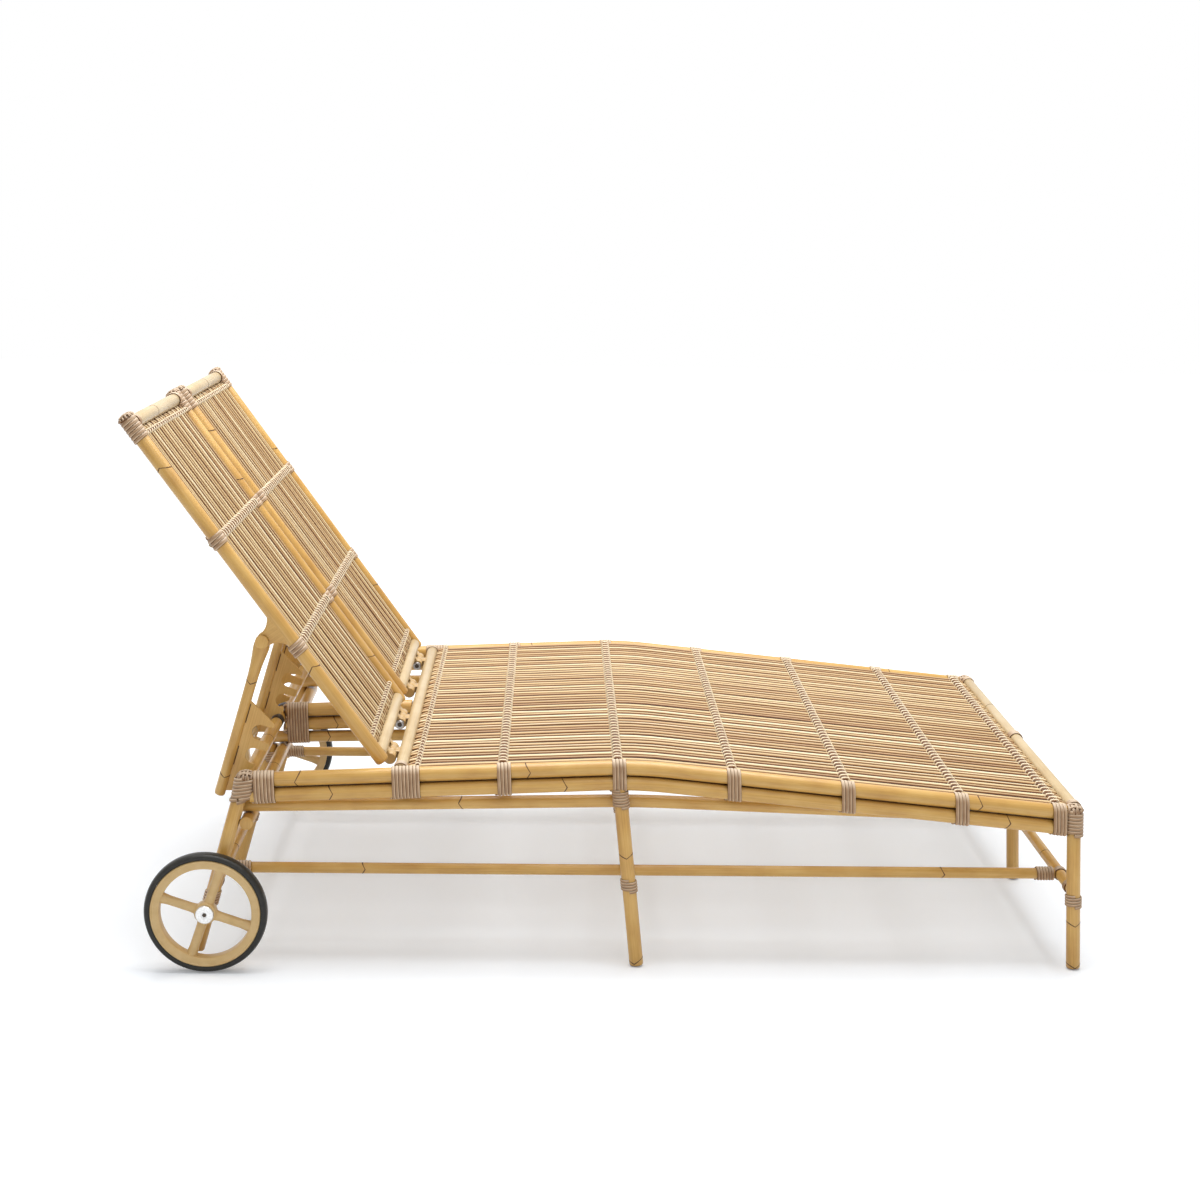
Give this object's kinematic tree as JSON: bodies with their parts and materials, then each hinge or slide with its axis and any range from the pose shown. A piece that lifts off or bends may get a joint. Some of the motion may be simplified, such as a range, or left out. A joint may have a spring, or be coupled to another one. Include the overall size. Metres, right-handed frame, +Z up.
{
  "type": "double sun lounger",
  "caption": "Wide bamboo-look sun lounger with a bent side frame, a rod deck, side-by-side tilting backrests on notched props, and wheels under the head end.",
  "frame": {"origin": "on the floor, under the middle of the lounger's length and width", "axes": "+X towards the foot end, +Y towards the left side, +Z up"},
  "size_m": [1.7774, 1.2318, 1.0179],
  "materials": {
    "bamboo_tube": "satin bamboo-look lacquer",
    "pale_bamboo_tube": "satin pale bamboo-look lacquer",
    "cream_rod": "satin cream rods",
    "black_rubber": "matt",
    "bright_metal": "brushed"
  },
  "bodies": {
    "frame": {"right_upper_rail": "bamboo_tube", "right_lower_rail": "bamboo_tube", "right_inner_rail": "bamboo_tube", "right_rear_leg": "bamboo_tube", "right_middle_leg": "bamboo_tube", "right_front_leg": "bamboo_tube", "right_side_stretcher": "bamboo_tube", "right_axle": "bright_metal", "left_upper_rail": "bamboo_tube", "left_lower_rail": "bamboo_tube", "left_inner_rail": "bamboo_tube", "left_rear_leg": "bamboo_tube", "left_middle_leg": "bamboo_tube", "left_front_leg": "bamboo_tube", "left_side_stretcher": "bamboo_tube", "left_axle": "bright_metal", "centre_upper_rail": "bamboo_tube", "centre_lower_rail": "bamboo_tube", "centre_bottom_rail": "bamboo_tube", "rear_cross_tube": "bamboo_tube", "rear_stretcher": "bamboo_tube", "middle_stretcher": "bamboo_tube", "front_stretcher": "bamboo_tube", "prop_bar": "pale_bamboo_tube", "seat_head_bar": "pale_bamboo_tube", "seat_foot_bar": "pale_bamboo_tube", "seat_slat_1": "pale_bamboo_tube", "seat_slat_2": "pale_bamboo_tube", "seat_slat_3": "pale_bamboo_tube", "seat_slat_4": "pale_bamboo_tube", "seat_slat_5": "pale_bamboo_tube", "seat_rods": "cream_rod"},
    "right_wheel": {"right_rim": "pale_bamboo_tube", "right_tyre": "black_rubber"},
    "left_wheel": {"left_rim": "pale_bamboo_tube", "left_tyre": "black_rubber"},
    "right_backrest": {"right_back_outer_rail": "bamboo_tube", "right_back_inner_rail": "bamboo_tube", "right_back_top_bar": "pale_bamboo_tube", "right_back_bottom_bar": "pale_bamboo_tube", "right_back_slat_1": "pale_bamboo_tube", "right_back_slat_2": "pale_bamboo_tube", "right_back_rods": "cream_rod", "right_outer_hinge_bolt": "bright_metal", "right_inner_hinge_bolt": "bright_metal"},
    "right_prop": {"right_prop_outer_strut": "bamboo_tube", "right_prop_inner_strut": "bamboo_tube", "right_prop_cross_tube": "pale_bamboo_tube"},
    "left_backrest": {"left_back_outer_rail": "bamboo_tube", "left_back_inner_rail": "bamboo_tube", "left_back_top_bar": "pale_bamboo_tube", "left_back_bottom_bar": "pale_bamboo_tube", "left_back_slat_1": "pale_bamboo_tube", "left_back_slat_2": "pale_bamboo_tube", "left_back_rods": "cream_rod", "left_outer_hinge_bolt": "bright_metal", "left_inner_hinge_bolt": "bright_metal"},
    "left_prop": {"left_prop_outer_strut": "bamboo_tube", "left_prop_inner_strut": "bamboo_tube", "left_prop_cross_tube": "pale_bamboo_tube"}
  },
  "joints": [
    {"name": "right_recline", "type": "hinge", "parent": "frame", "child": "right_backrest", "pos_m": [-0.4125, -0.27, 0.36944], "axis": [0, -1, 0], "range_deg": [0, 54]},
    {"name": "right_prop_swing", "type": "hinge", "parent": "right_backrest", "child": "right_prop", "pos_m": [-0.64016, -0.27, 0.60452], "axis": [0, 1, 0], "range_deg": [0, 127]},
    {"name": "right_wheel_spin", "type": "hinge", "parent": "frame", "child": "right_wheel", "pos_m": [-0.7395, -0.59, 0.113], "axis": [0, 1, 0], "continuous": true},
    {"name": "left_recline", "type": "hinge", "parent": "frame", "child": "left_backrest", "pos_m": [-0.4125, 0.27, 0.36944], "axis": [0, -1, 0], "range_deg": [0, 54]},
    {"name": "left_prop_swing", "type": "hinge", "parent": "left_backrest", "child": "left_prop", "pos_m": [-0.64016, 0.27, 0.60452], "axis": [0, 1, 0], "range_deg": [0, 127]},
    {"name": "left_wheel_spin", "type": "hinge", "parent": "frame", "child": "left_wheel", "pos_m": [-0.7395, 0.59, 0.113], "axis": [0, 1, 0], "continuous": true}
  ],
  "couplings": [
    {"joint": "right_prop_swing", "follows": "right_recline", "ratio": 2.35},
    {"joint": "left_prop_swing", "follows": "left_recline", "ratio": 2.35}
  ]
}
